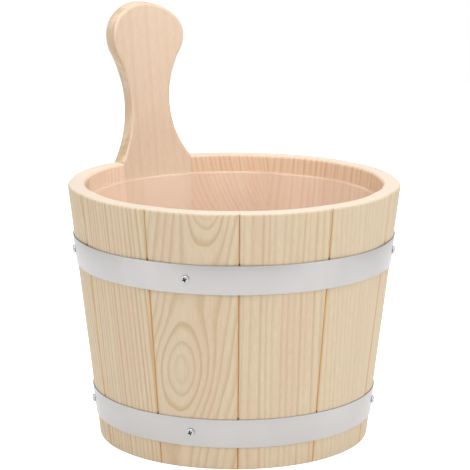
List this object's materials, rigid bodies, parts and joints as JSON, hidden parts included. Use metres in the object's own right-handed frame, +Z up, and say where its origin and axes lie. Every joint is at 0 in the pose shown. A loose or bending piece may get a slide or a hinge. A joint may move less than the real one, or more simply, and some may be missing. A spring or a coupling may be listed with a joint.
{
  "type": "wooden piggin",
  "caption": "Small coopered pine bucket with one stave grown up into a waisted paddle handle, two flat screwed metal hoops and a loose clear liner.",
  "frame": {"origin": "where the bucket's axis meets the floor it stands on", "axes": "+Z up the bucket's axis towards the end of the handle, +Y from the axis towards the handle stave, +X to the right of someone who looks along +Y"},
  "size_m": [0.2393, 0.2528, 0.3035],
  "materials": {
    "handle_wood": "planed, unfinished",
    "stave_wood": "planed, unfinished",
    "bottom_wood": "planed, unfinished",
    "hoop_steel": "satin",
    "screw_steel": "bright",
    "clear_plastic": "clear"
  },
  "bodies": {
    "tub": {"handle_stave": "handle_wood", "stave_1": "stave_wood", "stave_2": "stave_wood", "stave_3": "stave_wood", "stave_4": "stave_wood", "stave_5": "stave_wood", "stave_6": "stave_wood", "stave_7": "stave_wood", "stave_8": "stave_wood", "stave_9": "stave_wood", "stave_10": "stave_wood", "bottom_board_left": "bottom_wood", "bottom_board_middle": "bottom_wood", "bottom_board_right": "bottom_wood", "lower_hoop": "hoop_steel", "lower_hoop_screws": "screw_steel", "upper_hoop": "hoop_steel", "upper_hoop_screws": "screw_steel"},
    "liner": {"liner": "clear_plastic"}
  },
  "joints": [
    {"name": "liner_lift", "type": "slide", "parent": "tub", "child": "liner", "axis": [0, 0, 1], "range_m": [0, 0.18]}
  ]
}
